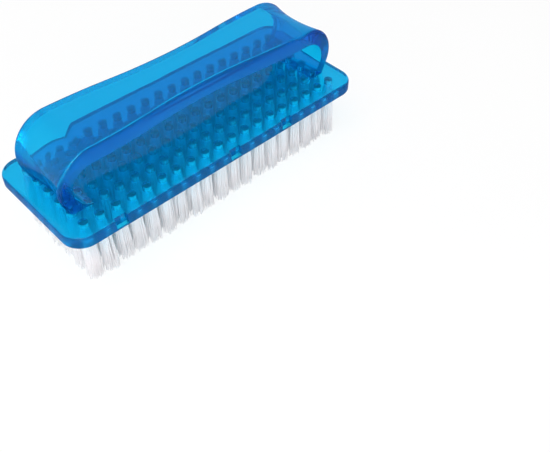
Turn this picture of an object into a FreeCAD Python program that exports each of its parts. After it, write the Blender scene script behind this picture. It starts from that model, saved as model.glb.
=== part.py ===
"""Nail brush: a moulded plate with a loop handle, and columns of bristle tufts held by flat anchors.

Millimetres. The origin lies under the middle of the brush, on the plane of the bristle tips, with +Z up
and +X along the brush. Heights inside the body are counted from the top face of the plate.
"""
import FreeCAD, Part
import math
import os

import Sketcher

SIZES = {
    # bristle field
    "column_count": 19,
    "row_count": 6,
    "hole_diameter": 2.4,
    "hole_depth": 2.8,
    "bristle_length": 16.0,
    "fit_clearance": 0.05,
    "tip_gap": 0.4,
    "tip_split": 0.8,
    # anchors
    "anchor_thickness": 0.4,
    "anchor_height": 1.3,
    "fold_height": 0.5,
    # plate
    "plate_length": 95.0,
    "plate_width": 36.0,
    "end_margin": 6.1,
    "side_margin": 5.5,
    "hole_roof": 0.6,
    "plate_corner_radius": 5.5,
    "plate_top_round": 0.9,
    "plate_bottom_round": 0.4,
    # notches in the front rim of the plate
    "notch_width": 3.4,
    "notch_depth": 1.1,
    "notch_ledge": 0.8,
    "left_notch_setback": 13.3,
    "middle_notch_offset": 1.5,
    "right_notch_setback": 27.7,
    # loop handle
    "handle_height": 16.6,
    "handle_end_width": 20.6,
    "waist_depth": 1.8,
    "end_straight": 12.6,
    "handle_draft_angle": 3.0,
    "handle_edge_round": 0.9,
    "strap_thickness": 4.3,
    "leg_setback": 6.4,
    "leg_height": 6.6,
    "leg_angle": 20.6,
    "leg_thickness": 2.1,
    "end_hollow_radius": 28.0,
}

COLUMN_SPAN = "(Sizes.plate_length - 2 * Sizes.end_margin)"
ROW_SPAN = "(Sizes.plate_width - 2 * Sizes.side_margin)"
COLUMN_PITCH = f"({COLUMN_SPAN} / (Sizes.column_count - 1))"
ROW_PITCH = f"({ROW_SPAN} / (Sizes.row_count - 1))"
PLATE_THICKNESS = "(Sizes.hole_depth + Sizes.hole_roof)"
HANDLE_HALF_LENGTH = "(Sizes.plate_length / 2 - Sizes.plate_top_round)"
HANDLE_HALF_WIDTH = "(Sizes.handle_end_width / 2)"
FOOT_HALF_WIDTH = f"({HANDLE_HALF_WIDTH} - Sizes.handle_height * tan(Sizes.handle_draft_angle))"
WAIST_HALF_LENGTH = f"({HANDLE_HALF_LENGTH} - Sizes.end_straight)"
WAIST_RADIUS = f"(({WAIST_HALF_LENGTH}^2 + Sizes.waist_depth^2) / (4 * Sizes.waist_depth))"
LEG_BASE = "(Sizes.plate_length / 2 - Sizes.leg_setback)"
LEG_LEAN = "(Sizes.leg_height * tan(Sizes.leg_angle))"
BEND_RADIUS = "(Sizes.handle_height - Sizes.leg_height)"
SHOULDER = f"({LEG_BASE} + {LEG_LEAN} + {BEND_RADIUS} * (1 - 1 / cos(Sizes.leg_angle)))"
HOLLOW_AXIS = f"({SHOULDER} + Sizes.end_hollow_radius)"
GAP_HEIGHT = "(Sizes.handle_height - Sizes.strap_thickness)"
GAP_HALF_LENGTH = f"({SHOULDER} - Sizes.leg_thickness)"
TUFT_RADIUS = "(Sizes.hole_diameter / 2 - Sizes.fit_clearance)"
TIP_RADIUS = f"((min({COLUMN_PITCH}; {ROW_PITCH}) - Sizes.tip_gap) / 2)"
TUFT_TOP = "(Sizes.bristle_length + Sizes.hole_depth - Sizes.fit_clearance)"
ANCHOR_TOP = f"({TUFT_TOP} - Sizes.fold_height)"
NOTCH_PLACES = (
    "(Sizes.left_notch_setback - Sizes.plate_length / 2)",
    "Sizes.middle_notch_offset",
    "(Sizes.plate_length / 2 - Sizes.right_notch_setback)",
)

CUT_HEADROOM = 5.0
HALF_TURN = 180.0
FULL_TURN = 360.0
TOLERANCE = 1e-4
RIM_SAMPLES = 5
ORIGIN = (-1, 1)

doc = FreeCAD.newDocument("nail_brush")


def make_sheet():
    """The driving dimensions, one alias each."""
    sheet = doc.addObject("Spreadsheet::Sheet", "Sizes")
    for row, (alias, value) in enumerate(SIZES.items(), start=1):
        sheet.set(f"A{row}", alias)
        sheet.set(f"B{row}", str(value))
        sheet.setAlias(f"B{row}", alias)
    doc.recompute()
    return sheet


sheet = make_sheet()


def size(expression):
    """The number that an expression on the sheet gives."""
    return float(sheet.evalExpression(expression))


def vector(x, y):
    return FreeCAD.Vector(x, y, 0)


def line(start, end):
    return Part.LineSegment(vector(*start), vector(*end))


def circle(centre, radius):
    return Part.Circle(vector(*centre), FreeCAD.Vector(0, 0, 1), radius)


def arc(centre, radius, start_angle, end_angle):
    """A counterclockwise arc, angles in radians."""
    return Part.ArcOfCircle(circle(centre, radius), start_angle, end_angle)


def new_body(label):
    body = doc.addObject("PartDesign::Body", label)
    body.Label = label
    return body


def new_sketch(body, role, name, lift="0"):
    """A sketch on one of the body's own origin planes, moved along the plane's normal."""
    plane = next(item for item in body.Origin.OriginFeatures if item.Role == role)
    sketch = body.newObject("Sketcher::SketchObject", name)
    sketch.AttachmentSupport = (plane, [""])
    sketch.MapMode = "FlatFace"
    sketch.setExpression("AttachmentOffset.Base.z", lift)
    return sketch


def bind(sketch, kind, *places, to):
    """Add a dimension to a sketch and tie it to an expression on the sheet."""
    index = sketch.addConstraint(Sketcher.Constraint(kind, *places, size(to)))
    sketch.setExpression(f"Constraints[{index}]", to)


def relate(sketch, kind, *places):
    sketch.addConstraint(Sketcher.Constraint(kind, *places))


def shared_ends(sketch, first, second):
    """Which end of each of two pieces of geometry lies on the other."""
    for end in (1, 2):
        for start in (1, 2):
            gap = sketch.getPoint(first, end) - sketch.getPoint(second, start)
            if gap.Length < TOLERANCE:
                return end, start
    raise ValueError("the pieces of an outline do not meet")


def outline(sketch, pieces, smooth=()):
    """Add a closed chain of lines and arcs; the joints after the pieces named in smooth are tangent."""
    numbers = [sketch.addGeometry(piece, False) for piece in pieces]
    for place, number in enumerate(numbers):
        following = numbers[(place + 1) % len(numbers)]
        end, start = shared_ends(sketch, number, following)
        kind = "Tangent" if place in smooth else "Coincident"
        relate(sketch, kind, number, end, following, start)
    return numbers


def rectangle(sketch, low, high, bottom, top):
    """An upright rectangle between two places along each axis, given as expressions."""
    x0, x1, y0, y1 = (size(place) for place in (low, high, bottom, top))
    corners = [(x0, y0), (x1, y0), (x1, y1), (x0, y1)]
    sides = outline(sketch, [line(a, b) for a, b in zip(corners, corners[1:] + corners[:1])])
    for side, kind in zip(sides, ("Horizontal", "Vertical", "Horizontal", "Vertical")):
        relate(sketch, kind, side)
    bind(sketch, "DistanceX", *ORIGIN, sides[0], 1, to=low)
    bind(sketch, "DistanceX", *ORIGIN, sides[0], 2, to=high)
    bind(sketch, "DistanceY", *ORIGIN, sides[0], 1, to=bottom)
    bind(sketch, "DistanceY", *ORIGIN, sides[2], 1, to=top)


def polygon(sketch, corners):
    """A closed polygon through corners that are given as pairs of expressions."""
    points = [(size(x), size(y)) for x, y in corners]
    sides = outline(sketch, [line(a, b) for a, b in zip(points, points[1:] + points[:1])])
    for side, (x, y) in zip(sides, corners):
        bind(sketch, "DistanceX", *ORIGIN, side, 1, to=x)
        bind(sketch, "DistanceY", *ORIGIN, side, 1, to=y)


def edges_where(feature, wanted):
    """The feature's edges that a test accepts, as a fillet takes them."""
    names = [f"Edge{n}" for n, edge in enumerate(feature.Shape.Edges, start=1) if wanted(edge)]
    return (feature, names)


def is_upright(edge):
    return edge.BoundBox.ZLength > TOLERANCE


def lies_at(height):
    """A test for edges whose ends are both at a height."""
    return lambda edge: all(abs(vertex.Z - height) < TOLERANCE for vertex in edge.Vertexes)


def add_fillet(body, name, base, wanted, radius):
    doc.recompute()
    fillet = body.newObject("PartDesign::Fillet", name)
    fillet.Base = edges_where(base, wanted)
    fillet.setExpression("Radius", radius)
    return fillet


def cut_through(body, sketch, name):
    """A pocket through the whole body, both ways from its sketch."""
    pocket = body.newObject("PartDesign::Pocket", name)
    pocket.Profile = sketch
    pocket.Type = "ThroughAll"
    pocket.SideType = "Symmetric"
    return pocket


def add_plate(body):
    """The flat plate with rounded corners and rims."""
    sketch = new_sketch(body, "XY_Plane", "plate_outline")
    half_length = "Sizes.plate_length / 2"
    half_width = "Sizes.plate_width / 2"
    rectangle(sketch, f"-{half_length}", half_length, f"-{half_width}", half_width)
    plate = body.newObject("PartDesign::Pad", "plate")
    plate.Profile = sketch
    plate.Reversed = True
    plate.setExpression("Length", PLATE_THICKNESS)
    corners = add_fillet(body, "plate_corners", plate, is_upright, "Sizes.plate_corner_radius")
    top = add_fillet(body, "plate_top_rim", corners, lies_at(0), "Sizes.plate_top_round")
    underside = lies_at(-size(PLATE_THICKNESS))
    add_fillet(body, "plate_bottom_rim", top, underside, "Sizes.plate_bottom_round")


def cut_rim_notches(body):
    """Small notches in the front rim, open at the top, with a thin ledge left below."""
    sketch = new_sketch(body, "XY_Plane", "rim_notch_plan")
    front = "-Sizes.plate_width / 2"
    half = "Sizes.notch_width / 2"
    for place in NOTCH_PLACES:
        rectangle(sketch, f"{place} - {half}", f"{place} + {half}",
                  f"{front} - Sizes.notch_depth", f"{front} + Sizes.notch_depth")
    notches = body.newObject("PartDesign::Pocket", "rim_notches")
    notches.Profile = sketch
    notches.setExpression("Length", f"{PLATE_THICKNESS} - Sizes.notch_ledge")


def waisted_side(half_width, sign):
    """One long side of the handle from above: two straight ends, and a waist of three arcs between them."""
    reach = size(HANDLE_HALF_LENGTH)
    swell_x = size(WAIST_HALF_LENGTH)
    radius = size(WAIST_RADIUS)
    swell_y = half_width - radius
    hollow_y = half_width - size("Sizes.waist_depth") + radius
    turn = math.atan2(swell_x, hollow_y - swell_y)
    quarter = math.pi / 2
    if sign > 0:
        left = (quarter - turn, quarter)
        middle = (3 * quarter - turn, 3 * quarter + turn)
        right = (quarter, quarter + turn)
    else:
        left = (3 * quarter, 3 * quarter + turn)
        middle = (quarter - turn, quarter + turn)
        right = (3 * quarter - turn, 3 * quarter)
    edge = sign * half_width
    return [
        line((-reach, edge), (-swell_x, edge)),
        arc((-swell_x, sign * swell_y), radius, *left),
        arc((0, sign * hollow_y), radius, *middle),
        arc((swell_x, sign * swell_y), radius, *right),
        line((swell_x, edge), (reach, edge)),
    ]


def handle_plan(body, name, half_width, lift):
    """The handle's waisted outline from above, at one height."""
    sketch = new_sketch(body, "XY_Plane", name, lift)
    edge = size(half_width)
    reach = size(HANDLE_HALF_LENGTH)
    right_end = line((reach, edge), (reach, -edge))
    left_end = line((-reach, -edge), (-reach, edge))
    chain = waisted_side(edge, 1) + [right_end] + waisted_side(edge, -1)[::-1] + [left_end]
    numbers = outline(sketch, chain, smooth=(0, 1, 2, 3, 6, 7, 8, 9))
    hollow_centre = f"({half_width} - Sizes.waist_depth + {WAIST_RADIUS})"
    for side, sign in ((numbers[:5], ""), (numbers[10:5:-1], "-")):
        for straight in (side[0], side[4]):
            relate(sketch, "Horizontal", straight)
            bind(sketch, "DistanceY", *ORIGIN, straight, 1, to=f"{sign}{half_width}")
        for curve in side[1:4]:
            bind(sketch, "Radius", curve, to=WAIST_RADIUS)
        hollow = side[2]
        bind(sketch, "DistanceX", *ORIGIN, hollow, 3, to="0")
        bind(sketch, "DistanceY", *ORIGIN, hollow, 3, to=f"{sign}{hollow_centre}")
    for end, sign in ((numbers[5], ""), (numbers[11], "-")):
        relate(sketch, "Vertical", end)
        bind(sketch, "DistanceX", *ORIGIN, end, 1, to=f"{sign}{HANDLE_HALF_LENGTH}")
    return sketch


def add_handle_block(body):
    """The handle's block: waisted from above, and narrower towards the plate."""
    top = handle_plan(body, "handle_top_plan", HANDLE_HALF_WIDTH, "Sizes.handle_height")
    foot = handle_plan(body, "handle_foot_plan", FOOT_HALF_WIDTH, "0")
    block = body.newObject("PartDesign::AdditiveLoft", "handle_block")
    block.Profile = top
    block.Sections = [foot]
    block.Ruled = True


def round_handle_end(body):
    """Cut the outer face of one leg and the bend above it, hollow across its width; then mirror the cut."""
    base = size(LEG_BASE)
    height = size("Sizes.handle_height")
    radius = size(BEND_RADIUS)
    axis = size(HOLLOW_AXIS)
    centre = (size(SHOULDER) - radius, height - radius)
    turn = -math.radians(size("Sizes.leg_angle"))
    touch = (centre[0] + radius * math.cos(turn), centre[1] + radius * math.sin(turn))
    sky = height + CUT_HEADROOM
    sketch = new_sketch(body, "XZ_Plane", "end_cut_profile")
    leg, bend, rise, roof, spine, floor = outline(sketch, [
        line((base, 0), touch),
        arc(centre, radius, turn, math.pi / 2),
        line((centre[0], height), (centre[0], sky)),
        line((centre[0], sky), (axis, sky)),
        line((axis, sky), (axis, 0)),
        line((axis, 0), (base, 0)),
    ], smooth=(0,))
    for upright in (rise, spine):
        relate(sketch, "Vertical", upright)
    for level in (roof, floor):
        relate(sketch, "Horizontal", level)
    relate(sketch, "Vertical", bend, 3, bend, 2)
    bind(sketch, "DistanceX", *ORIGIN, leg, 1, to=LEG_BASE)
    bind(sketch, "DistanceY", *ORIGIN, leg, 1, to="0")
    bind(sketch, "Radius", bend, to=BEND_RADIUS)
    bind(sketch, "DistanceX", *ORIGIN, bend, 3, to=f"{SHOULDER} - {BEND_RADIUS}")
    bind(sketch, "DistanceY", *ORIGIN, bend, 2, to="Sizes.handle_height")
    bind(sketch, "DistanceY", *ORIGIN, roof, 1, to=f"Sizes.handle_height + {CUT_HEADROOM}")
    bind(sketch, "DistanceX", *ORIGIN, spine, 1, to=HOLLOW_AXIS)
    sketch.addGeometry(line((axis, 0), (axis, sky)), True)
    end_cut = body.newObject("PartDesign::Groove", "end_cut")
    end_cut.Profile = sketch
    end_cut.ReferenceAxis = (sketch, ["Axis0"])
    end_cut.Angle = HALF_TURN
    end_cut.Midplane = True
    doc.recompute()
    other_end = body.newObject("PartDesign::Mirrored", "other_end_cut")
    other_end.Originals = [end_cut]
    middle = next(item for item in body.Origin.OriginFeatures if item.Role == "YZ_Plane")
    other_end.MirrorPlane = (middle, [""])
    body.Tip = other_end


def cut_finger_gap(body):
    """The gap under the strap: full round at both ends, level with the top of the plate."""
    height = size(GAP_HEIGHT)
    radius = height / 2
    straight = size(GAP_HALF_LENGTH) - radius
    quarter = math.pi / 2
    sketch = new_sketch(body, "XZ_Plane", "finger_gap_profile")
    floor, right, roof, left = outline(sketch, [
        line((-straight, 0), (straight, 0)),
        arc((straight, radius), radius, -quarter, quarter),
        line((straight, height), (-straight, height)),
        arc((-straight, radius), radius, quarter, 3 * quarter),
    ], smooth=(0, 1, 2, 3))
    relate(sketch, "Horizontal", floor)
    bind(sketch, "DistanceY", *ORIGIN, floor, 1, to="0")
    bind(sketch, "Radius", right, to=f"{GAP_HEIGHT} / 2")
    bind(sketch, "DistanceX", *ORIGIN, right, 3, to=f"{GAP_HALF_LENGTH} - {GAP_HEIGHT} / 2")
    bind(sketch, "DistanceX", *ORIGIN, left, 3, to=f"-({GAP_HALF_LENGTH} - {GAP_HEIGHT} / 2)")
    return cut_through(body, sketch, "finger_gap")


def outside_gap(point):
    """How far a point of the side view lies outside the finger gap."""
    radius = size(GAP_HEIGHT) / 2
    beyond = max(abs(point.x) - (size(GAP_HALF_LENGTH) - radius), 0)
    return math.hypot(beyond, point.z - radius) - radius


def on_handle_rim(edge):
    """True for the outer edges of the handle's two sides, from plate to plate over the strap."""
    points = edge.discretize(RIM_SAMPLES)
    heights = [point.z for point in points]
    on_plate = max(heights) < TOLERANCE or min(heights) < -TOLERANCE
    one_side = min(point.y for point in points) * max(point.y for point in points) > 0
    half_wall = size("min(Sizes.leg_thickness; Sizes.strap_thickness) / 2")
    clear_of_gap = max(outside_gap(point) for point in points) > half_wall
    return one_side and clear_of_gap and not on_plate


def drill_holes(body):
    """Blind holes for the tufts, from the underside."""
    sketch = new_sketch(body, "XY_Plane", "tuft_hole", lift=f"-{PLATE_THICKNESS}")
    corner = (-size(COLUMN_SPAN) / 2, -size(ROW_SPAN) / 2)
    ring = sketch.addGeometry(circle(corner, size("Sizes.hole_diameter / 2")), False)
    bind(sketch, "Diameter", ring, to="Sizes.hole_diameter")
    bind(sketch, "DistanceX", *ORIGIN, ring, 3, to=f"-{COLUMN_SPAN} / 2")
    bind(sketch, "DistanceY", *ORIGIN, ring, 3, to=f"-{ROW_SPAN} / 2")
    hole = body.newObject("PartDesign::Pocket", "first_hole")
    hole.Profile = sketch
    hole.Reversed = True
    hole.setExpression("Length", "Sizes.hole_depth")
    doc.recompute()
    field = body.newObject("PartDesign::LinearPattern", "hole_field")
    field.Originals = [hole]
    field.Direction = (sketch, ["H_Axis"])
    field.setExpression("Length", COLUMN_SPAN)
    field.setExpression("Occurrences", "Sizes.column_count")
    field.Direction2 = (sketch, ["V_Axis"])
    field.setExpression("Length2", ROW_SPAN)
    field.setExpression("Occurrences2", "Sizes.row_count")
    body.Tip = field


def make_brush_body():
    body = new_body("brush_body")
    body.setExpression("Placement.Base.z", f"Sizes.bristle_length + {PLATE_THICKNESS}")
    add_plate(body)
    cut_rim_notches(body)
    add_handle_block(body)
    round_handle_end(body)
    gap = cut_finger_gap(body)
    add_fillet(body, "handle_rim", gap, on_handle_rim, "Sizes.handle_edge_round")
    drill_holes(body)
    return body


def repeat_across_plate(body, features, sketch, number):
    """Repeat features made for the first row of holes in every row, and move the body to its column."""
    doc.recompute()
    column = body.newObject("PartDesign::LinearPattern", f"{body.Label}_pattern")
    column.Originals = features
    column.Direction = (sketch, ["H_Axis"])
    column.setExpression("Length", ROW_SPAN)
    column.setExpression("Occurrences", "Sizes.row_count")
    body.Tip = column
    body.setExpression("Placement.Base.x", f"{number} * {COLUMN_PITCH} - {COLUMN_SPAN} / 2")
    body.setExpression("Placement.Base.y", f"-{ROW_SPAN} / 2")


def make_tuft_column(number):
    """One column of tufts, each folded in two over its anchor: round in the hole, spreading to flat tips."""
    body = new_body(f"tuft_column_{number + 1:02d}")
    body.AllowCompound = True
    tip, shank = size(TIP_RADIUS), size(TUFT_RADIUS)
    neck, top = size("Sizes.bristle_length"), size(TUFT_TOP)
    sketch = new_sketch(body, "XZ_Plane", f"{body.Label}_profile")
    foot, flare, wall, crown, core = outline(sketch, [
        line((0, 0), (tip, 0)),
        line((tip, 0), (shank, neck)),
        line((shank, neck), (shank, top)),
        line((shank, top), (0, top)),
        line((0, top), (0, 0)),
    ])
    relate(sketch, "Coincident", foot, 1, *ORIGIN)
    for level in (foot, crown):
        relate(sketch, "Horizontal", level)
    for upright in (wall, core):
        relate(sketch, "Vertical", upright)
    bind(sketch, "DistanceX", *ORIGIN, foot, 2, to=TIP_RADIUS)
    bind(sketch, "DistanceX", *ORIGIN, wall, 1, to=TUFT_RADIUS)
    bind(sketch, "DistanceY", *ORIGIN, wall, 1, to="Sizes.bristle_length")
    bind(sketch, "DistanceY", *ORIGIN, wall, 2, to=TUFT_TOP)
    tuft = body.newObject("PartDesign::Revolution", f"{body.Label}_tuft")
    tuft.Profile = sketch
    tuft.ReferenceAxis = (sketch, ["V_Axis"])
    tuft.Angle = FULL_TURN
    split_sketch = new_sketch(body, "YZ_Plane", f"{body.Label}_split_profile")
    half_slot = "(Sizes.anchor_thickness / 2 + Sizes.fit_clearance)"
    slot_floor = f"({ANCHOR_TOP} - Sizes.anchor_height)"
    slot_roof = f"({ANCHOR_TOP} + Sizes.fit_clearance)"
    half_split = "Sizes.tip_split / 2"
    polygon(split_sketch, [
        (half_slot, slot_roof), (f"-{half_slot}", slot_roof), (f"-{half_slot}", slot_floor),
        (f"-{half_split}", "0"), (half_split, "0"), (half_slot, slot_floor),
    ])
    split = cut_through(body, split_sketch, f"{body.Label}_split")
    repeat_across_plate(body, [tuft, split], split_sketch, number)
    return body


def make_anchor_column(number):
    """One column of flat wire anchors, each across its hole inside the fold of a tuft."""
    body = new_body(f"anchor_column_{number + 1:02d}")
    body.AllowCompound = True
    sketch = new_sketch(body, "YZ_Plane", f"{body.Label}_section")
    half_wire = "Sizes.anchor_thickness / 2"
    rectangle(sketch, f"-{half_wire}", half_wire, f"{ANCHOR_TOP} - Sizes.anchor_height", ANCHOR_TOP)
    anchor = body.newObject("PartDesign::Pad", f"{body.Label}_wire")
    anchor.Profile = sketch
    anchor.SideType = "Symmetric"
    anchor.setExpression("Length", f"2 * {TUFT_RADIUS}")
    repeat_across_plate(body, [anchor], sketch, number)
    return body


def check(parts):
    """Stop if any object failed or any sub-part's shape is empty or broken."""
    for item in doc.Objects:
        if "Invalid" in item.State or "Error" in item.State:
            raise RuntimeError(f"{item.Label} did not build: {item.State}")
    for part in parts:
        if part.Shape.isNull() or not part.Shape.isValid():
            raise RuntimeError(f"{part.Label} has no valid shape")


def main():
    columns = range(int(size("Sizes.column_count")))
    parts = [make_brush_body()]
    parts += [make_tuft_column(number) for number in columns]
    parts += [make_anchor_column(number) for number in columns]
    doc.recompute()
    check(parts)
    os.makedirs("parts", exist_ok=True)
    for part in parts:
        part.Shape.exportStep(f"parts/{part.Label}.step")
        print(part.Label, len(part.Shape.Solids), "solids", round(part.Shape.Volume, 2), "mm3")


main()
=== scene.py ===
import math

import bpy
import numpy as np
from bpy.props import FloatProperty, FloatVectorProperty, IntProperty, PointerProperty
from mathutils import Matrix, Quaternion, Vector


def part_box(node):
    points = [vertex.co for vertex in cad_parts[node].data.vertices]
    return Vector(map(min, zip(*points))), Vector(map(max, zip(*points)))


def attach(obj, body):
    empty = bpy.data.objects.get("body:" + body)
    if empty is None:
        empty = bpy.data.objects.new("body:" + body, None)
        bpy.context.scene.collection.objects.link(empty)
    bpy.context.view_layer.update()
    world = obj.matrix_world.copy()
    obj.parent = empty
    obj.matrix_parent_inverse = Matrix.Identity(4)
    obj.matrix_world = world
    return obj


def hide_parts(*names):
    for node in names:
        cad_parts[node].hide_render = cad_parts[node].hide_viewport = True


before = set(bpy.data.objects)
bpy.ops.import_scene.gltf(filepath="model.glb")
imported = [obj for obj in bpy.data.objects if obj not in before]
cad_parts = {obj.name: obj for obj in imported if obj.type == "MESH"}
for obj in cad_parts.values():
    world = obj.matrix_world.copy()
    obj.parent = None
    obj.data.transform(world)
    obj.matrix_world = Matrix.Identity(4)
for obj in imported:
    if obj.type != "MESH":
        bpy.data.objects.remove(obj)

bl_info = {
    "name": "Nail brush",
    "version": (1, 0, 0),
    "blender": (4, 5, 0),
    "location": "3D View > Sidebar > Nail brush",
    "description": "Clear blue body, folded nylon bristles, wire anchors and stage of a nail brush",
    "category": "Object",
}

BODY_NODE = "brush_body"
TUFT_NODES = sorted(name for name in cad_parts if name.startswith("tuft_column"))
ANCHOR_NODES = sorted(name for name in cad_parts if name.startswith("anchor_column"))
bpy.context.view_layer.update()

# Plain white for light that keeps its colour
WHITE = (1, 1, 1, 1)

# Heights within this many metres are the same, and places are told apart to this many digits
NEAR = 1e-5
DIGITS = 6

# Points on a leg of a filament, as shares of the way from the plate to the tip
LEG_SHARES = (0.55, 0.2)

# Points of the fold over an anchor, as shares of a filament's distance from the tuft's middle
FOLD_TURNS = (-0.6, 0, 0.6)

# A layer of filaments has at least this many
FEWEST_IN_LAYER = 2


class BodyFinish(bpy.types.PropertyGroup):
    """The clear blue plastic of the plate and handle."""

    colour: FloatVectorProperty(
        name="Colour", description="Tint that the surface gives to the light that passes it",
        subtype="COLOR", default=(0.04, 0.61, 0.83), min=0, max=1)
    dye_colour: FloatVectorProperty(
        name="Dye colour", description="Light that the dyed plastic lets through",
        subtype="COLOR", default=(0.0, 0.905, 0.977), min=0, max=1)
    dye_density: FloatProperty(
        name="Dye density", description="How much the dye absorbs over one metre", default=700.0, min=0)
    haze: FloatProperty(
        name="Haze", description="Share of the light that fine scratches scatter",
        default=0.2, min=0, max=1, subtype="FACTOR")
    refraction: FloatProperty(
        name="Refraction", description="Index of refraction of the plastic", default=1.49, min=1, max=2)
    calm: FloatProperty(
        name="Calm", description="Share of the outer reflections that the dim surroundings take away",
        default=0.8, min=0, max=1, subtype="FACTOR")
    polish: FloatProperty(
        name="Polish", description="Roughness of the cleanest polished surface", default=0.015, min=0, max=1)
    smudge: FloatProperty(
        name="Smudge", description="Roughness that handling adds in patches", default=0.036, min=0, max=1)
    wipe: FloatProperty(
        name="Wipe", description="Roughness that fine wiping marks add", default=0.024, min=0, max=1)
    ripple: FloatProperty(
        name="Ripple", description="Height of the slow waves that moulding leaves in the surface",
        default=0.00002, min=0, unit="LENGTH")


class BristleMake(bpy.types.PropertyGroup):
    """The nylon filaments, each folded once over its anchor."""

    filament: FloatProperty(
        name="Filament", description="Diameter of one filament", default=0.00022, min=0.00005, unit="LENGTH")
    layers: IntProperty(
        name="Layers", description="Layers of filaments on each side of an anchor", default=5, min=1)
    sides: IntProperty(
        name="Sides", description="Flat sides round one filament", default=5, min=3)
    stray: FloatProperty(
        name="Stray", description="How far single tips wander", default=0.0002, min=0, unit="LENGTH")
    lean: FloatProperty(
        name="Lean", description="How far whole tufts lean", default=0.0002, min=0, unit="LENGTH")
    trim: FloatProperty(
        name="Trim", description="Spread of the cut lengths", default=0.0005, min=0, unit="LENGTH")
    fan: FloatProperty(
        name="Fan", description="How a tuft spreads below its hole: 1 evenly, less for sooner",
        default=0.5, min=0.1, max=1)
    bow: FloatProperty(
        name="Bow", description="Sideways bow halfway down a filament", default=0.0001, min=0, unit="LENGTH")
    seed: IntProperty(name="Seed", description="Start of the random numbers", default=7)
    colour: FloatVectorProperty(
        name="Colour", description="Milky nylon",
        subtype="COLOR", default=(0.98, 0.958, 0.965), min=0, max=1)
    shades: FloatVectorProperty(
        name="Shades", description="Darkest and palest filaments, as shares of the colour",
        size=2, default=(0.96, 1.02), min=0)
    palest: FloatProperty(
        name="Palest", description="Most that any filament reflects", default=0.99, min=0, max=1)
    # Painted shade: a dark blue given to the folds in their holes, standing in for the shade there
    fold_painted_shade: FloatVectorProperty(
        name="Fold colour", description="Nylon of the folds, deep in their holes in the blue plastic",
        subtype="COLOR", default=(0.005, 0.02, 0.09), min=0, max=1)
    glow: FloatProperty(
        name="Translucency", description="Share of the light that goes through a filament",
        default=0.7, min=0, max=1, subtype="FACTOR")
    clearness: FloatProperty(
        name="Clearness", description="Share of the lamp light that goes straight through a filament",
        default=0.82, min=0, max=1, subtype="FACTOR")
    refraction: FloatProperty(
        name="Refraction", description="Index of refraction of nylon", default=1.53, min=1, max=2)
    polish: FloatProperty(
        name="Polish", description="Roughness of the smoothest filament", default=0.28, min=0, max=1)
    streak: FloatProperty(
        name="Streak", description="Roughness that streaks along a filament add", default=0.2, min=0, max=1)
    fold_polish: FloatProperty(
        name="Fold polish", description="Roughness of the folds", default=0.3, min=0, max=1)
    relief: FloatProperty(
        name="Relief", description="Height of the streaks along a filament",
        default=0.00001, min=0, unit="LENGTH")


class AnchorFinish(bpy.types.PropertyGroup):
    """The drawn metal of the flat wire anchors."""

    dull_colour: FloatVectorProperty(
        name="Dull colour", description="Metal of the duller patches",
        subtype="COLOR", default=(0.36, 0.31, 0.21), min=0, max=1)
    bright_colour: FloatVectorProperty(
        name="Bright colour", description="Metal of the brighter patches",
        subtype="COLOR", default=(0.60, 0.53, 0.38), min=0, max=1)
    polish: FloatProperty(
        name="Polish", description="Roughness between the drawing lines", default=0.25, min=0, max=1)
    scratch: FloatProperty(
        name="Scratch", description="Roughness that the drawing lines add", default=0.25, min=0, max=1)
    relief: FloatProperty(
        name="Relief", description="Height of the drawing lines", default=0.00001, min=0, unit="LENGTH")


class StageSetting(bpy.types.PropertyGroup):
    """Camera, floor and light."""

    camera_place: FloatVectorProperty(
        name="Camera place", description="Where the camera stands", subtype="TRANSLATION",
        default=(-0.0931891, -0.1294431, 0.1455573))
    camera_heading: FloatVectorProperty(
        name="Camera heading", description="Direction in which the camera looks", subtype="DIRECTION",
        default=(0.480301, 0.491170, -0.726676))
    camera_roll: FloatProperty(
        name="Camera roll", description="Tilt of the camera about its heading", subtype="ANGLE",
        default=math.radians(1.03))
    lens: FloatProperty(name="Lens", description="Focal length in millimetres", default=49.0, min=1)
    clip: FloatProperty(
        name="Clip", description="Nearest distance that the camera sees", default=0.005, min=0, unit="LENGTH")
    floor_size: FloatProperty(
        name="Floor size", description="Side of the square floor", default=4.0, min=0.1, unit="LENGTH")
    floor_shades: FloatVectorProperty(
        name="Floor shades", description="Darkest and palest grey of the floor",
        size=2, default=(0.90, 0.94), min=0, max=1)
    floor_glow: FloatProperty(
        name="Floor glow", description="How far the floor shows as plain white where it is seen directly",
        default=0.8, min=0, max=1)
    fill: FloatProperty(
        name="Fill", description="Strength of the even light from all round", default=0.6, min=0)
    key_place: FloatVectorProperty(
        name="Key place", description="Where the soft lamp above the brush hangs",
        subtype="TRANSLATION", default=(-0.25, -0.1, 0.55))
    key_size: FloatProperty(
        name="Key size", description="Side of the lamp above the brush", default=0.4, min=0, unit="LENGTH")
    key_power: FloatProperty(
        name="Key power", description="Power of the lamp above the brush",
        default=2.1, min=0, unit="POWER")
    low_place: FloatVectorProperty(
        name="Low place", description="Where the soft lamp in front of the bristles stands",
        subtype="TRANSLATION", default=(-0.36, -0.36, 0.13))
    low_size: FloatProperty(
        name="Low size", description="Side of the lamp in front of the bristles",
        default=0.3, min=0, unit="LENGTH")
    low_power: FloatProperty(
        name="Low power", description="Power of the lamp in front of the bristles",
        default=0.95, min=0, unit="POWER")


def setting():
    """The add-on's settings in this scene."""
    return bpy.context.scene.nail_brush


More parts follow.
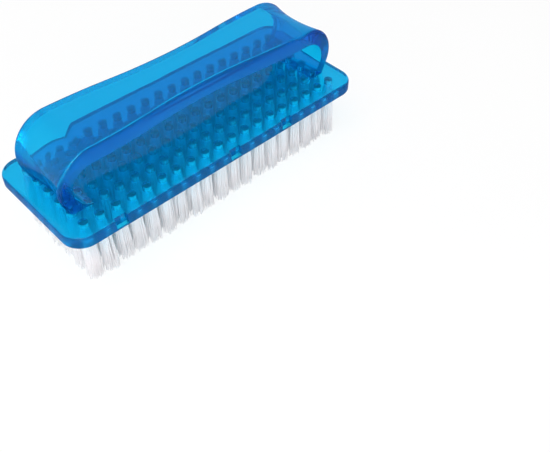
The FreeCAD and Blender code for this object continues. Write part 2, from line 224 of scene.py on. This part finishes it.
class Value:
    """A node's output. In Python sums it stands for its number, and each sum adds a Math node."""

    def __init__(self, finish, socket):
        self.finish = finish
        self.socket = socket

    def sum(self, operation, first, second):
        """The value of a Math node on two numbers or values."""
        return self.finish.add("ShaderNodeMath", {"operation": operation}, {0: first, 1: second})

    def __add__(self, other):
        return self.sum("ADD", self, other)

    def __radd__(self, other):
        return self.sum("ADD", other, self)

    def __sub__(self, other):
        return self.sum("SUBTRACT", self, other)

    def __rsub__(self, other):
        return self.sum("SUBTRACT", other, self)

    def __mul__(self, other):
        return self.sum("MULTIPLY", self, other)

    def __rmul__(self, other):
        return self.sum("MULTIPLY", other, self)

    def __pow__(self, other):
        return self.sum("POWER", self, other)

    def clamped(self):
        """This value, kept between 0 and 1."""
        return self.finish.add("ShaderNodeClamp", {}, {"Value": self})


class Finish:
    """A node tree that is built by adding nodes with their settings and inputs."""

    def __init__(self, tree):
        self.tree = tree
        tree.nodes.clear()

    def add(self, kind, settings, inputs, output=0):
        """Add a node, set it up, fill its sockets and give one of its outputs, if it has any."""
        node = self.tree.nodes.new(kind)
        for name, value in settings.items():
            if name == "stops":
                self.set_stops(node.color_ramp, value)
            else:
                setattr(node, name, value)
        for name, value in inputs.items():
            if isinstance(value, Value):
                self.tree.links.new(value.socket, node.inputs[name])
            else:
                node.inputs[name].default_value = value
        return Value(self, node.outputs[output]) if node.outputs else None

    @staticmethod
    def set_stops(ramp, stops):
        """Give a colour ramp these places and colours."""
        while len(ramp.elements) < len(stops):
            ramp.elements.new(1)
        for element, (place, colour) in zip(ramp.elements, stops):
            element.position = place
            element.color = (*colour, 1)

    def place(self, stretch=(1, 1, 1)):
        """The point on the part, in metres in its own frame, stretched along the axes."""
        point = self.add("ShaderNodeTexCoord", {}, {}, "Object")
        return self.add("ShaderNodeMapping", {}, {"Vector": point, "Scale": stretch})

    def noise(self, scale, detail, stretch=(1, 1, 1)):
        """Cloudy noise from 0 to 1, with this many clouds to a metre."""
        sockets = {"Vector": self.place(stretch), "Scale": scale, "Detail": detail}
        return self.add("ShaderNodeTexNoise", {}, sockets, "Fac")

    def ramp(self, value, *stops):
        """The colour at this value between stops of a place and a colour."""
        return self.add("ShaderNodeValToRGB", {"stops": stops}, {"Fac": value})

    def bump(self, height, distance):
        """The surface's direction, tilted by a relief of this distance in metres."""
        return self.add("ShaderNodeBump", {}, {"Height": height, "Distance": distance, "Strength": 1.0})

    def ray(self, kind):
        """One for rays of this kind, such as Camera or Shadow."""
        return self.add("ShaderNodeLightPath", {}, {}, f"Is {kind} Ray")

    def blend(self, share, first, second):
        """Two shaders, with this share of the second."""
        return self.add("ShaderNodeMixShader", {}, {0: share, 1: first, 2: second})

    def clear(self):
        """A shader that lets all light through as it is."""
        return self.add("ShaderNodeBsdfTransparent", {}, {"Color": WHITE})


def new_material(name):
    """A material with an empty node tree, and the means to fill it."""
    material = bpy.data.materials.new(name)
    material.use_nodes = True
    return material, Finish(material.node_tree)


def clear_blue_plastic():
    """Polished clear plastic with a blue dye, slow moulding ripples, smudges and fine wiping marks."""
    look = setting().body
    material, finish = new_material("clear_blue_plastic")
    # Light that passes straight through crosses two surfaces, and each gives half of the tint
    tint = (*(math.sqrt(part) for part in look.colour), 1)
    black = (0, 0, 0)
    white = (1, 1, 1)
    waves = finish.noise(scale=140.0, detail=1.0)
    patches = finish.noise(scale=95.0, detail=4.0)
    smudges = finish.ramp(patches, (0.52, black), (0.72, white))
    marks = finish.noise(scale=900.0, detail=3.0, stretch=(0.05, 1, 1))
    wipes = finish.ramp(marks, (0.6, black), (0.75, white))
    roughness = look.polish + look.smudge * smudges + look.wipe * wipes
    relief = finish.bump(waves, look.ripple)
    surface = finish.add("ShaderNodeBsdfPrincipled", {}, {
        "Base Color": (*look.colour, 1),
        "Roughness": roughness,
        "IOR": look.refraction,
        "Transmission Weight": 1 - look.haze,
        "Normal": relief,
    })
    through = finish.add("ShaderNodeBsdfRefraction", {}, {
        "Color": tint,
        "Roughness": roughness,
        "IOR": look.refraction,
        "Normal": relief,
    })
    inside = finish.add("ShaderNodeNewGeometry", {}, {}, "Backfacing")
    calmed = finish.blend(look.calm * (1 - inside), surface, through)
    lit_through = finish.blend(finish.ray("Shadow"), calmed, finish.clear())
    dye = finish.add("ShaderNodeVolumeAbsorption", {}, {
        "Color": (*look.dye_colour, 1),
        "Density": look.dye_density,
    })
    finish.add("ShaderNodeOutputMaterial", {}, {"Surface": lit_through, "Volume": dye})
    return material


def milky_nylon():
    """Translucent nylon whose filaments differ a little in tone, with painted shade that makes the folds
    darker and bluer up in the holes.
    """
    look = setting().bristles
    material, finish = new_material("milky_nylon")
    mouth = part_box(BODY_NODE)[0].z
    fold_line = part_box(ANCHOR_NODES[0])[1].z
    height = finish.add("ShaderNodeSeparateXYZ", {}, {"Vector": finish.place()}, "Z")
    # Painted shade: share of the dark fold shader, growing from the hole's mouth up to the top of the anchor
    painted_shade_share = ((height - mouth) * (1 / (fold_line - mouth))).clamped() ** 2
    shade = finish.noise(scale=2600.0, detail=1.0, stretch=(1, 1, 0.02))
    dark, light = (tuple(min(look.palest, share * part) for part in look.colour) for share in look.shades)
    streaks = finish.noise(scale=9000.0, detail=1.0, stretch=(1, 1, 0.03))
    surface = finish.add("ShaderNodeBsdfPrincipled", {}, {
        "Base Color": finish.ramp(shade, (0.3, dark), (0.7, light)),
        "Roughness": look.polish + look.streak * streaks,
        "IOR": look.refraction,
        "Normal": finish.bump(streaks, look.relief),
    })
    through = finish.add("ShaderNodeBsdfTranslucent", {}, {"Color": (*look.colour, 1)})
    # Painted shade: a dark blue nylon for the folds, in place of the shade that falls in the holes
    fold = finish.add("ShaderNodeBsdfPrincipled", {}, {
        "Base Color": (*look.fold_painted_shade, 1),
        "Roughness": look.fold_polish,
        "IOR": look.refraction,
    })
    nylon = finish.blend(painted_shade_share, finish.blend(look.glow, surface, through), fold)
    lit_through = finish.blend(finish.ray("Shadow") * look.clearness, nylon, finish.clear())
    finish.add("ShaderNodeOutputMaterial", {}, {"Surface": lit_through})
    return material


def drawn_wire():
    """Bright drawn metal wire with fine lines along it and duller patches."""
    look = setting().anchors
    material, finish = new_material("drawn_wire")
    lines = finish.noise(scale=9000.0, detail=2.0, stretch=(0.02, 1, 1))
    patches = finish.noise(scale=1500.0, detail=3.0)
    surface = finish.add("ShaderNodeBsdfPrincipled", {}, {
        "Base Color": finish.ramp(patches, (0.35, look.dull_colour), (0.65, look.bright_colour)),
        "Metallic": 1.0,
        "Roughness": look.polish + look.scratch * lines,
        "Normal": finish.bump(lines, look.relief),
    })
    finish.add("ShaderNodeOutputMaterial", {}, {"Surface": surface})
    return material


def dress(piece, material):
    """Give a piece this material alone."""
    piece.data.materials.clear()
    piece.data.materials.append(material)


class NAILBRUSH_OT_body(bpy.types.Operator):
    """Give the moulded plate and handle their clear blue plastic"""

    bl_idname = "nail_brush.body"
    bl_label = "Body"

    def execute(self, context):
        dress(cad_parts[BODY_NODE], clear_blue_plastic())
        return {"FINISHED"}


class NAILBRUSH_OT_anchors(bpy.types.Operator):
    """Give the flat wire anchors their drawn metal"""

    bl_idname = "nail_brush.anchors"
    bl_label = "Anchors"

    def execute(self, context):
        wire = drawn_wire()
        for name in ANCHOR_NODES:
            dress(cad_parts[name], wire)
        return {"FINISHED"}


class TuftColumn:
    """Where the tufts of one column stand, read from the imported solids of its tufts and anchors."""

    def __init__(self, tuft_node, anchor_node):
        low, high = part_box(tuft_node)
        wire_low, wire_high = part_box(anchor_node)
        self.x = (low.x + high.x) / 2
        self.tip = low.z
        self.crown = high.z
        self.fold = wire_high.z
        self.shank = (wire_high.x - wire_low.x) / 2
        self.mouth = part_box(BODY_NODE)[0].z
        points = np.array([vertex.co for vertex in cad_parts[anchor_node].data.vertices])
        edges = np.unique(np.round(points[:, 1], DIGITS))
        self.rows = (edges[0::2] + edges[1::2]) / 2
        self.wire = edges[1] - edges[0]
        points = np.array([vertex.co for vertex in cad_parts[tuft_node].data.vertices])
        feet = points[points[:, 2] < self.tip + NEAR]
        self.split = np.abs(feet[:, 1] - self.rows[0]).min()
        self.spread = (high.x - low.x) / 2


def shank_places(column, look):
    """Offsets of the filaments beside an anchor: layer by layer outwards on one side of it."""
    places = []
    reach = column.shank - look.filament / 2
    step = (reach - column.wire / 2 - look.filament / 2) / look.layers
    for layer in range(look.layers):
        across = column.wire / 2 + look.filament / 2 + layer * step
        half = math.sqrt(reach ** 2 - across ** 2)
        count = max(FEWEST_IN_LAYER, round(2 * half / look.filament))
        places += [(along, across, layer) for along in np.linspace(-half, half, count)]
    return places


def tip_offset(column, look, along, across):
    """Where a filament's tip stands in its half of the tuft: the half in the hole, spread out."""
    radius = look.filament / 2
    inner = column.wire / 2 + radius
    widening = (column.spread - column.split - look.filament) / (column.shank - radius - inner)
    flare = (column.spread - radius) / (column.shank - radius)
    return along * flare, column.split + radius + (across - inner) * widening


def leg_points(column, look, offset, tip, bow):
    """One leg of a filament from its tip up to its shoulder beside the anchor."""
    mouth = np.array([offset[0], offset[1], column.mouth])
    shoulder = np.array([offset[0], offset[1], column.fold - look.filament])
    points = [tip]
    for share in LEG_SHARES:
        point = mouth + (tip - mouth) * share
        point[:2] = mouth[:2] + (tip - mouth)[:2] * share ** look.fan + bow * math.sin(math.pi * share)
        points.append(point)
    return points + [mouth, shoulder]


def folded_filament(column, look, chance, place, lean):
    """The centre line of one filament: up one side of the anchor, over it and down the other side."""
    along, across, layer = place
    headroom = column.crown - column.fold - look.filament
    crest = column.fold + look.filament / 2 + headroom * (layer + 0.5) / look.layers
    legs = []
    for side in (-1, 1):
        offset = (along, side * across)
        wander = chance.normal(0, look.stray, 2)
        tip_along, tip_across = tip_offset(column, look, along, across)
        cut = column.tip + abs(chance.normal(0, look.trim))
        tip = np.array([tip_along, side * tip_across, cut])
        tip[:2] += lean + wander
        bow = chance.normal(0, look.bow, 2)
        legs.append(leg_points(column, look, offset, tip, bow))
    bend = [np.array([along, turn * across, crest]) for turn in FOLD_TURNS]
    bend[1][2] = crest + look.filament / 2
    return np.array(legs[0] + bend + legs[1][::-1])


def tube_mesh(name, lines, radius, sides):
    """A mesh of closed tubes round centre lines that have the same number of points."""
    lines = np.array(lines)
    count, length, _ = lines.shape
    heading = np.gradient(lines, axis=1)
    heading /= np.linalg.norm(heading, axis=2, keepdims=True)
    side = np.array([1.0, 0, 0]) - heading * heading[:, :, :1]
    side /= np.linalg.norm(side, axis=2, keepdims=True)
    other = np.cross(heading, side)
    turns = np.linspace(0, 2 * math.pi, sides, endpoint=False)
    rings = [lines + radius * (math.cos(turn) * side + math.sin(turn) * other) for turn in turns]
    points = np.stack(rings, axis=2).reshape(-1, 3)
    faces = []
    for line in range(count):
        start = line * length * sides
        for ring in range(length - 1):
            low = start + ring * sides
            for corner in range(sides):
                after = (corner + 1) % sides
                faces.append((low + corner, low + after, low + sides + after, low + sides + corner))
        last = start + (length - 1) * sides
        faces.append(tuple(range(start + sides - 1, start - 1, -1)))
        faces.append(tuple(range(last, last + sides)))
    mesh = bpy.data.meshes.new(name)
    mesh.from_pydata(points.tolist(), [], faces)
    mesh.shade_smooth()
    return mesh


class NAILBRUSH_OT_bristles(bpy.types.Operator):
    """Plant the nylon filaments, folded over their anchors, one piece for each column of tufts"""

    bl_idname = "nail_brush.bristles"
    bl_label = "Bristles"

    def execute(self, context):
        look = setting().bristles
        nylon = milky_nylon()
        chance = np.random.default_rng(look.seed)
        for tuft_node, anchor_node in zip(TUFT_NODES, ANCHOR_NODES):
            column = TuftColumn(tuft_node, anchor_node)
            places = shank_places(column, look)
            lines = []
            for row in column.rows:
                lean = chance.normal(0, look.lean, 2)
                foot = np.array([column.x, row, 0])
                lines += [foot + folded_filament(column, look, chance, place, lean) for place in places]
            name = tuft_node.replace("tuft_column", "bristles")
            piece = bpy.data.objects.new(name, tube_mesh(name, lines, look.filament / 2, look.sides))
            context.scene.collection.objects.link(piece)
            dress(piece, nylon)
            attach(piece, "root")
            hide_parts(tuft_node)
        return {"FINISHED"}


def seen_directly(finish):
    """One for rays from the camera, in reflections and through clear plastic."""
    return (finish.ray("Camera") + finish.ray("Glossy") + finish.ray("Transmission")).clamped()


def pale_floor_material():
    """Pale matte floor that keeps a soft shadow and is nearly white where it is seen directly."""
    look = setting().stage
    material, finish = new_material("pale_floor")
    dark, pale = ((grey, grey, grey) for grey in look.floor_shades)
    paper = finish.ramp(finish.noise(scale=12.0, detail=3.0), (0.3, dark), (0.7, pale))
    matte = finish.add("ShaderNodeBsdfPrincipled", {}, {
        "Base Color": paper,
        "Roughness": 1.0,
        "Specular IOR Level": 0.0,
    })
    glow = finish.add("ShaderNodeEmission", {}, {"Color": WHITE, "Strength": 1.0})
    mixed = finish.blend(seen_directly(finish) * look.floor_glow, matte, glow)
    finish.add("ShaderNodeOutputMaterial", {}, {"Surface": mixed})
    return material


def light_world():
    """Even white light from all round, plain white where it is seen directly."""
    look = setting().stage
    world = bpy.data.worlds.new("studio")
    world.use_nodes = True
    bpy.context.scene.world = world
    finish = Finish(world.node_tree)
    strength = look.fill + (1 - look.fill) * seen_directly(finish)
    sky = finish.add("ShaderNodeBackground", {}, {"Color": WHITE, "Strength": strength})
    finish.add("ShaderNodeOutputWorld", {}, {"Surface": sky})


def add_floor():
    """The square floor that the tips stand on."""
    half = setting().stage.floor_size / 2
    mesh = bpy.data.meshes.new("floor")
    corners = [(-half, -half, 0), (half, -half, 0), (half, half, 0), (-half, half, 0)]
    mesh.from_pydata(corners, [], [(0, 1, 2, 3)])
    floor = bpy.data.objects.new("floor", mesh)
    bpy.context.scene.collection.objects.link(floor)
    dress(floor, pale_floor_material())


def add_lamp(name, place, power, size):
    """A square soft lamp that points at the brush."""
    light = bpy.data.lights.new(name, "AREA")
    light.energy = power
    light.size = size
    lamp = bpy.data.objects.new(name, light)
    lamp.location = place
    lamp.rotation_euler = (-Vector(place)).to_track_quat("-Z", "Y").to_euler()
    bpy.context.scene.collection.objects.link(lamp)


def add_camera():
    """The camera, above the near left corner of the brush."""
    look = setting().stage
    data = bpy.data.cameras.new("camera")
    data.lens = look.lens
    data.sensor_fit = "HORIZONTAL"
    data.clip_start = look.clip
    camera = bpy.data.objects.new("camera", data)
    level = Vector(look.camera_heading).to_track_quat("-Z", "Y")
    camera.rotation_mode = "QUATERNION"
    camera.rotation_quaternion = level @ Quaternion((0, 0, 1), look.camera_roll)
    camera.location = look.camera_place
    bpy.context.scene.collection.objects.link(camera)
    bpy.context.scene.camera = camera


class NAILBRUSH_OT_stage(bpy.types.Operator):
    """Set up the camera, the pale floor and the soft light"""

    bl_idname = "nail_brush.stage"
    bl_label = "Stage"

    def execute(self, context):
        look = setting().stage
        context.scene.view_settings.view_transform = "Standard"
        light_world()
        add_floor()
        add_lamp("key_lamp", look.key_place, look.key_power, look.key_size)
        add_lamp("low_lamp", look.low_place, look.low_power, look.low_size)
        add_camera()
        return {"FINISHED"}


class NailBrushSettings(bpy.types.PropertyGroup):
    """All settings of the nail brush."""

    body: PointerProperty(type=BodyFinish, name="Body", description="Clear plastic of the body")
    bristles: PointerProperty(type=BristleMake, name="Bristles", description="Nylon filaments")
    anchors: PointerProperty(type=AnchorFinish, name="Anchors", description="Drawn metal of the anchors")
    stage: PointerProperty(type=StageSetting, name="Stage", description="Camera, floor and light")


OPERATORS = (NAILBRUSH_OT_body, NAILBRUSH_OT_anchors, NAILBRUSH_OT_bristles, NAILBRUSH_OT_stage)


class NAILBRUSH_PT_panel(bpy.types.Panel):
    """The steps that make the nail brush, with their settings"""

    bl_idname = "NAILBRUSH_PT_panel"
    bl_label = "Nail brush"
    bl_space_type = "VIEW_3D"
    bl_region_type = "UI"
    bl_category = "Nail brush"

    def draw(self, context):
        for step in OPERATORS:
            self.layout.operator(step.bl_idname)
        for group in (setting().body, setting().bristles, setting().anchors, setting().stage):
            box = self.layout.box()
            for name in group.__annotations__:
                box.prop(group, name)


GROUPS = (BodyFinish, BristleMake, AnchorFinish, StageSetting, NailBrushSettings)
CLASSES = (*GROUPS, *OPERATORS, NAILBRUSH_PT_panel)


def register():
    for cls in CLASSES:
        bpy.utils.register_class(cls)
    bpy.types.Scene.nail_brush = PointerProperty(type=NailBrushSettings)


def unregister():
    del bpy.types.Scene.nail_brush
    for cls in reversed(CLASSES):
        bpy.utils.unregister_class(cls)


def main():
    register()
    bpy.ops.nail_brush.body()
    bpy.ops.nail_brush.anchors()
    bpy.ops.nail_brush.bristles()
    bpy.ops.nail_brush.stage()


if __name__ == "__main__":
    main()
